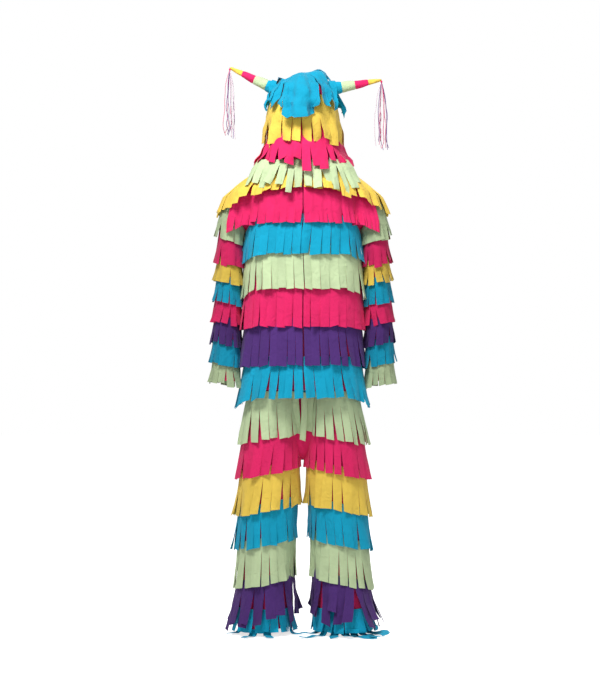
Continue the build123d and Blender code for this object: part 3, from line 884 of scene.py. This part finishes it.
def floor_strips(side, word):
    """Long teal strips that reach the floor at the hem and lie on it, one over another."""
    rng = seeded(f"{word}_floor")
    grids, shades = [], []
    middle = side * LEG_SECTIONS[1][1]
    p = steps_across(-0.5, 0.5, STRIP_POINTS)
    for index, (heading, run, curve, width) in enumerate(FLOOR_STRIPS[word]):
        fall = FLOOR_START - FLOOR_BEND - LIES_AT - LAYER * (index % 3)
        walked = linspace(0, fall + FLOOR_BEND * pi / 2 + run, 44)
        turn = clip((walked - fall) / FLOOR_BEND, 0, pi / 2)
        lying = clip(walked - fall - FLOOR_BEND * pi / 2, 0, None)
        direction = radians(heading) + curve * lying
        pace = np.gradient(walked) * sin(turn)
        x = middle + FLOOR_REACH * cos(radians(heading)) + np.cumsum(pace * cos(direction))
        y = FLOOR_REACH * sin(radians(heading)) + np.cumsum(pace * sin(direction))
        wave = 0.0035 * sin(lying * 55 + index) ** 2 * minimum(lying * 40, 1)
        height = FLOOR_START - minimum(walked, fall) - FLOOR_BEND * sin(turn) + wave
        tilt = 0.14 * rng.standard_normal() * width * p * minimum(lying * 30, 1)[:, None]
        grids.append(point_grid(
            x[:, None] - sin(direction)[:, None] * width * p,
            y[:, None] + cos(direction)[:, None] * width * p,
            maximum(height[:, None] + tilt, FABRIC),
        ))
        shades.append(SHADE_SPREAD * rng.standard_normal())
    sew(f"{word}_floor_teal_strips", grids, "teal", f"{word}_leg", shades=shades)


# ---- hood
HOOD = Tube([(z, 0, 0, z, 0, r, r) for z, r in (
    (1.470, 0.080), (1.530, 0.081), (1.580, 0.096), (1.640, 0.103), (1.690, 0.097),
    (1.725, 0.080), (1.748, 0.054), (1.765, 0.004),
)], rounding=3)


def turned(theta, towards):
    """The angle from a heading in degrees, between -pi and pi."""
    return (theta - radians(towards) + pi) % tau - pi


def lobe(theta, towards, spread):
    """A bump that is 1 at a heading and fades over spread, both in degrees."""
    return exp(-((turned(theta, towards) / radians(spread)) ** 2))


RIDGE, FLAP = -92, -94  # headings of the flap's ridge and of its middle, in degrees
FLAP_REACH = 22


class CrownTube(Tube):
    """The crown of the hood: a dome with two soft peaks and a ridge down the front of its flap."""

    def surface(self, theta, s):
        points = super().surface(theta, s)
        outward = point_grid(cos(theta), sin(theta), 0)
        near_top = exp(-(((s - 0.80) / 0.14) ** 2))
        left_peak = lobe(theta, -14, 34)
        peaks = 0.016 * left_peak - 0.008 * lobe(theta, -60, 24) - 0.006 * lobe(theta, 180, 50)
        ridge = 0.012 * exp(-abs(turned(theta, RIDGE)) / 0.20) * clip(1 - s, 0, 1)
        points = points + outward * (peaks * near_top + ridge)[..., None]
        points[..., 2] += (0.018 * left_peak + 0.006 * lobe(theta, -110, 40)) * near_top
        return points


CROWN = CrownTube([(s, 0, 0, z, 0, r, r) for s, r, z in (
    (-0.3, 0.114, 1.590), (0.0, 0.114, 1.636), (0.25, 0.108, 1.675), (0.5, 0.095, 1.712),
    (0.7, 0.068, 1.745), (0.85, 0.042, 1.765), (1.0, 0.001, 1.778),
)])
NECK = Tube([(z, 0, y, z, 0, width, depth) for z, y, width, depth in (
    (1.440, -0.002, 0.150, 0.144), (1.475, -0.002, 0.145, 0.140), (1.500, -0.001, 0.139, 0.134),
    (1.530, 0, 0.127, 0.123), (1.560, 0, 0.114, 0.112), (1.590, 0, 0.106, 0.105),
    (1.640, 0, 0.105, 0.105),
)])
HOOD_GAP = -0.001
NECK_BLEND = ("neck", "hood", Vector((0, 0, 1.505)), Vector((0, 0, 1.595)))
WINDOW_LOW, WINDOW_HIGH = 1.592, 1.662
WINDOW_REACH = radians(37)
HOLES_ACROSS, HOLES_DOWN = 46, 26
STRAND_SHARE = 0.4  # share of the netting's pitch that its strands take up
STRAND_DEPTH = 0.0006
NET_GAP = -0.003  # the netting lies behind the hood's cloth
NET_REACH, NET_RISE = 0.05, 0.004  # how far it goes past the window, as an angle and up


def in_window(theta, z):
    return abs(turned(theta, -90)) < WINDOW_REACH and WINDOW_LOW < z < WINDOW_HIGH


def front_flap(theta):
    return abs(turned(theta, FLAP)) < radians(FLAP_REACH)


def crown_foot(theta):
    """The crown ends in a low point in front, less low beside it, and stops over the horns."""
    off_centre = abs(turned(theta, FLAP)) / radians(FLAP_REACH + 2)
    flap = -0.13 + 0.15 * clip(off_centre, 0, 1)
    strips = 0.15 - 0.06 * lobe(theta, 90, 60)
    foot = flap + (strips - flap) * clip((off_centre - 1) * 5, 0, 1)
    return where(abs(sin(theta)) < sin(radians(15)), 0.70, foot)


def flap_fold(theta, drop):
    """The flap's free edge bells out, with a sharp fold on each side of its ridge."""
    folds = 0.018 * abs(cos(turned(theta, RIDGE) * 6.5)) + 0.003
    return folds * drop ** 1.1 * lobe(theta, FLAP, 30) - 0.016 * lobe(theta, 180, 22) * drop


def neck_foot(theta):
    """The neck row ends higher over the shoulders."""
    return 1.472 + 0.006 * cos(theta) ** 2


def strand_edges(first, last, holes):
    """Where the strands of a netting start and end, from its first strand to its last."""
    pitch = (last - first) / (holes + STRAND_SHARE)
    starts = first + pitch * np.arange(holes + 1)
    return np.stack([starts, starts + pitch * STRAND_SHARE], -1).ravel()


def netting():
    """The panel that the wearer sees through: a sheet of square holes, sewn behind the window."""
    reach = WINDOW_REACH + NET_REACH
    theta = strand_edges(FRONT - reach, FRONT + reach, HOLES_ACROSS)
    z = strand_edges(WINDOW_LOW - NET_RISE, WINDOW_HIGH + NET_RISE, HOLES_DOWN)
    points = HOOD.place(theta[None, :], z[:, None], NET_GAP)
    strands = cells(points, lambda i, j: not (i % 2 and j % 2))
    name, nodes = "vision_netting_panel", ["vision_mesh"]
    sew(name, strands, "netting", "hood", nodes, thickness=STRAND_DEPTH)


def hood():
    for word, first, last in (("left", FRONT, BACK), ("right", BACK, FRONT + tau)):
        name = f"hood_{word}_half"
        cloth(
            f"{name}_cloth", HOOD, 1.530, 1.7645, first, last, HOOD_GAP, "hood", [name],
            steps=(60, 80), skip=in_window,
        )
    netting()
    neck = Row(
        1.612, neck_foot, gap_head=-0.002, gap_foot=0.002, slit=0.46, slit_jitter=0.16,
        open_share=0.4, loose=2.1, length_jitter=0.09, ripple=0.004, crumple=0.011, gather=0.8,
        spread=0.13, swerve=0.005,
    )
    fringe("hood_pink_fringe_row", NECK, 0, tau, 30, neck, "pink", NECK_BLEND, ["hood_pink_fringe"])
    face = Row(
        1.698, 1.562, gap_foot=0.034, slit=0.42, slit_jitter=0.12, open_share=0.22, loose=1.9,
        length_jitter=0.05, ripple=0.002, crumple=0.004, gather=0.6, spread=0.10, swerve=0.004,
    )
    fringe("hood_yellow_fringe_row", HOOD, 0, tau, 23, face, "yellow", "hood", ["hood_yellow_fringe"])
    # The crown's strips carry painted shade, darker than the teal elsewhere, where the lamps light
    # the top of the hood most.
    crown = Row(
        0.93, crown_foot, gap_head=0.001, gap_foot=0.012, slit=0.12, slit_jitter=0.06,
        open_share=0.7, loose=2.6, length_jitter=0.08, ripple=0.002, crumple=0.019, gather=0.7,
        spread=0.20, tone_and_painted_shade=-0.12, swerve=0.006, closed_at=front_flap, fold=flap_fold,
    )
    fringe("crown_teal_fringe_row", CROWN, 0, tau, 30, crown, "teal", "hood", ["hood_teal_fringe"])
    cloth("crown_cap", CROWN, 0.68, 0.999, 0, tau, HOOD_GAP, "hood", steps=(61, 24), finish="teal")


# ---- horns
TASSEL_DROP = 0.009  # from the tip of the horn down to the axis that its tassel swings on


def horn_ends(word):
    """The root and tip of a horn's centre line, from the joints of the horn and its tassel."""
    places = {joint["name"]: joint.get("pos_m") for joint in frame["joints"]}
    root, swing = (Vector(places[f"{word}_{name}"]) for name in ("horn_bob", "tassel_swing"))
    return root, swing + Vector((0, 0, TASSEL_DROP))


FORE_AND_AFT = np.array((0, 1, 0))
HORN_PROFILE = (  # share of the horn's length, radius
    (-0.12, 0.0255), (0.08, 0.0212), (0.235, 0.0170), (0.49, 0.0130), (0.745, 0.0084), (1.0, 0.0024),
)
HORN_BANDS = (  # colour, and where it starts and ends along the horn
    ("teal", -0.12, 0.235), ("green", 0.235, 0.49), ("pink", 0.49, 0.745), ("yellow", 0.745, 1.0),
)
HORN_COVER = 0.001  # thickness of the cloth on a horn
PUFF, SEAM, PUCKER, DENT = 0.0007, 0.0009, 0.00035, 0.0005  # of a band between its seams
SEAM_REACH = 0.05  # share of a band that its seam pulls in
TIP_START = 0.985  # where the last band starts to close
HORN_SAG = 0.0015  # of the middle of a horn


def horn_radius(share, theta, start, end, rng):
    """Radius of a band: pulled in and puckered at its two seams and padded between them."""
    within = (share - start) / (end - start)
    ends = exp(-((within / SEAM_REACH) ** 2)) + exp(-(((1 - within) / SEAM_REACH) ** 2))
    shape = PUFF * sin(pi * within) - SEAM * ends
    pucker = sin(theta * 14 + rng.uniform(0, tau)) * abs(cos(pi * within)) ** 3
    dent = sin(theta * 3 + within * 5 + rng.uniform(0, tau))
    radius = interp(share, *zip(*HORN_PROFILE)) + shape + PUCKER * pucker + DENT * dent
    if end < 1.0:
        return radius
    closing = clip((1 - share) / (1 - TIP_START), 0.02, 1) ** 0.5
    return radius * where(share > TIP_START, closing, 1)


def horn(word):
    """The four cloth covers of a horn, and the flaps at its root."""
    body = f"{word}_horn"
    root, tip = horn_ends(word)
    along = np.array(tip - root)
    root = np.array(root)
    out = np.cross(along, FORE_AND_AFT)
    out /= np.linalg.norm(out)
    theta = steps_across(0, tau, 49)
    for colour, start, end in HORN_BANDS:
        share = steps_down(start, end, 28)
        r = horn_radius(share, theta, start, end, seeded(f"{body}_{colour}"))[..., None]
        around = cos(theta)[..., None] * FORE_AND_AFT + sin(theta)[..., None] * out
        points = root + share[..., None] * along + r * around
        points[..., 2] -= 4 * HORN_SAG * share * (1 - share)
        nodes = [f"{body}_{colour}_band"]
        if colour == "teal":
            nodes.append(f"{body}_filling")
        name = f"{body}_{colour}_cover"
        sew(name, [points], colour, body, nodes, thickness=HORN_COVER)
    horn_flaps(body, FLAPS[word], root, along)


FLAPS = {  # along the horn, width, drop in front, lean
    "left": ((-0.016, 0.024, 0.078, 0.1), (0.006, 0.030, 0.090, 0.0)),
    "right": ((-0.004, 0.028, 0.080, 0.45), (0.017, 0.022, 0.062, 0.4)),
}
# painted shade on the horn's root flaps, matching the crown's
FLAP_PAINTED_SHADE = -0.08


def horn_flaps(body, flaps, root, along):
    """Crown strips that lie over the horn's root and hang down in front of it and behind it."""
    rng = seeded(f"{body}_flaps")
    grids, shades = [], []
    reach_out = np.linalg.norm(along)
    unit = along / reach_out
    up = np.cross(unit, FORE_AND_AFT)
    up *= np.sign(up[2])
    p = steps_across(-0.5, 0.5, STRIP_POINTS)
    for index, (offset, breadth, length, lean) in enumerate(flaps):
        share = (offset + breadth * p) / reach_out
        radius = interp(share, *zip(*HORN_PROFILE)) + 0.0015 + 0.0013 * (index % 2)
        walked = steps_down(-length * 0.95, length + 0.01 * rng.random(), 33)
        distance = abs(walked)
        bend = radius * pi / 2
        past = clip(distance - bend, 0, None)
        angle = minimum(distance / bend, 1) * pi / 2
        out = radius * sin(angle) + past * (0.10 + rng.uniform(-0.15, 0.15) * p)
        fall = radius * cos(angle) - past
        place = breadth * p + offset - lean * past
        place = place + 0.004 * sin(distance * 40 + index) * minimum(distance * 20, 1)
        points = root + place[..., None] * unit + fall[..., None] * up
        points[..., 1] -= np.sign(walked) * out
        seed = Vector(rng.uniform(0, 50, 3))
        points[..., 1] += 0.0025 * crumpling(points, seed) * np.sign(walked + 1e-9)
        grids.append(points)
        # a random tone, plus the flaps' painted shade
        shades.append(SHADE_SPREAD * rng.standard_normal() + FLAP_PAINTED_SHADE)
    sew(f"{body}_root_flaps", grids, "teal", body, shades=shades)


# ---- tassels
CORD_COLOURS = {
    "rose": (0.62, 0.10, 0.20),
    "violet": (0.16, 0.05, 0.24),
    "pale": (0.66, 0.52, 0.60),
}
CORD_RADIUS, KNOT_RADIUS = 0.0009, 0.0032
CORDS_OF_COLOUR, BENDS = 4, 8


def bend_cord(spline, rng, knot, length):
    """One cord arches out from the knot and hangs, with its end bent the most."""
    heading = rng.uniform(0, tau)
    reach = rng.uniform(0.003, 0.029)
    share = rng.uniform(0.80, 1.0)
    wobble = rng.uniform(-0.004, 0.004, (BENDS + 1, 2))
    wobble[BENDS] *= 2.5
    spline.bezier_points.add(BENDS)
    for i, point in enumerate(spline.bezier_points):
        t = i / BENDS
        spread = reach * (1 - (1 - t) ** 3) * (1 - 0.3 * t)
        x = knot[0] + cos(heading) * spread + wobble[i, 0] * t
        y = knot[1] + sin(heading) * spread + wobble[i, 1] * t
        point.co = (x, y, knot[2] - length * share * t)
        point.handle_left_type = point.handle_right_type = "AUTO"


def tassel(word):
    """Thin cords of three colours under the horn's tip, and the knot that holds them."""
    body = f"{word}_tassel"
    rng = seeded(body)
    knot = horn_ends(word)[1] - Vector((0, 0, 0.006))
    for colour, rgb in CORD_COLOURS.items():
        curve = bpy.data.curves.new(f"{body}_{colour}", "CURVE")
        curve.dimensions = "3D"
        curve.bevel_depth = CORD_RADIUS
        curve.bevel_resolution = 2
        for _ in range(CORDS_OF_COLOUR):
            bend_cord(curve.splines.new("BEZIER"), rng, knot, knot[2] - foot_of(body))
        curve.materials.append(cloth_material(f"{word}_cord_{colour}", rgb, weave=3000, crease=0))
        nodes = [body] if colour == "rose" else ()
        attach(placed(f"{body}_{colour}", curve), body, nodes)
    theta = steps_across(0, tau, 25)
    phi = steps_down(0.02, pi - 0.02, 25)
    r = KNOT_RADIUS * (1 + 0.12 * sin(phi * 9 + theta))
    around = point_grid(sin(phi) * cos(theta), sin(phi) * sin(theta), 1.2 * cos(phi))
    bead = np.array(knot) + r[..., None] * around
    sew(f"{body}_knot", [bead], "knot", body, thickness=0)


# ---- zip and neck band
TAPE_THICKNESS, TAPE_WAVE, EDGE_CORD = 0.0007, 0.0002, 0.0003
RIBS, RIB_DEPTH, BAND_PUFF = 60, 0.0006, 0.0012


def zip_tape(node):
    """A woven tape with a corded outer edge that waves a little between its stitches."""
    low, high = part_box(node)
    z = steps_down(low.z, high.z, 160)
    share = steps_across(0, 1, 9)
    outer = share if low.x > 0 else 1 - share
    y = (low.y + high.y) / 2 + TAPE_WAVE * sin(z * 400) * outer - EDGE_CORD * (outer > 0.85)
    tape = point_grid(low.x + (high.x - low.x) * share, y, z)
    sew(f"{node}_woven", [tape], "tape", "torso", [node], thickness=TAPE_THICKNESS)


def neck_band():
    """A ribbed knitted band at the foot of the hood."""
    low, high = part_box("neck_band")
    theta = steps_across(0, tau, 361)
    v = steps_down(0, 1, 9)
    r = high.x - 0.002 + BAND_PUFF * sin(pi * v) + RIB_DEPTH * sin(theta * RIBS)
    band = point_grid(r * cos(theta), r * sin(theta), low.z + (high.z - low.z) * v)
    sew("neck_band_ribbed", [band], "base", "neck", ["neck_band"])


def hardware():
    """The zip and the neck band. The coil, stops, slider and pull are the CAD's own solids."""
    for node in ("zip_tape_left", "zip_tape_right"):
        zip_tape(node)
    for node, material in (
        ("zip_coil", ZIP_COIL), ("zip_stops", ZIP_COIL),
        ("zip_slider", ZIP_METAL), ("zip_pull", ZIP_METAL),
    ):
        data = frame["nodes"][node].data
        data.materials.clear()
        data.materials.append(material)
    neck_band()


# ---- studio
WORLD_LIGHT = 0.42
FLOOR_GLOW = 0.72
FLOOR_RADIUS, FLOOR_Z = 14, -0.001
VIEW_HEIGHT, DISTANCE = 2.226, 6.0  # what the camera takes in, and from how far
LAMPS = (  # name, place, what it points at, size in metres, power in watts
    ("key", (-0.6, -1.6, 3.1), (0, 0, 1.4), 0.9, 74),
    ("fill", (1.8, -3.0, 2.0), (0, 0, 1.2), 2.2, 13),
    ("back", (0.6, 2.6, 2.8), (0, 0, 1.1), 1.6, 55),
)


def seen_by_camera(owner, seen, unseen):
    """A strength of one value to the camera and another to everything that it lights."""
    return remapped(owner, add_node(owner, "LightPath")["Is Camera Ray"], unseen, seen)


def studio():
    world = bpy.data.worlds.new("studio")
    world.use_nodes = True
    strength = seen_by_camera(world, 1.0, WORLD_LIGHT)
    background = world.node_tree.nodes["Background"]
    feed(world, background, {"Color": (1, 1, 1, 1), "Strength": strength})
    bpy.context.scene.world = world
    bpy.context.scene.view_settings.view_transform = "Standard"

    paint, bsdf = new_material("floor_paint", (0.9, 0.9, 0.9), 0.9)
    glow = seen_by_camera(paint, FLOOR_GLOW, 0.0)
    feed(paint, bsdf, {"Emission Color": (1, 1, 1, 1), "Emission Strength": glow})
    radius = steps_down(0.01, FLOOR_RADIUS, 24)
    theta = steps_across(0, tau, 97)
    ground = point_grid(radius * cos(theta), radius * sin(theta), FLOOR_Z)
    mesh_object("studio_floor", [ground], paint, thickness=0)

    for name, place, aim, size, power in LAMPS:
        light = bpy.data.lights.new(name, "AREA")
        light.shape = "DISK"
        light.size = size
        light.energy = power
        facing = (Vector(aim) - Vector(place)).to_track_quat("-Z", "Y")
        placed(name, light, place, facing.to_euler())

    camera = bpy.data.cameras.new("camera")
    camera.lens = camera.sensor_width * DISTANCE / VIEW_HEIGHT
    place = (-0.0095, -DISTANCE, 0.897)
    bpy.context.scene.camera = placed("camera", camera, place, (radians(90), 0, 0))


torso_cloth()
gusset()
torso_rows()
shoulder_rows()
hood()
for side, word in SIDES:
    sleeve(side, word)
    leg(side, word)
    horn(word)
    tassel(word)
hardware()
studio()
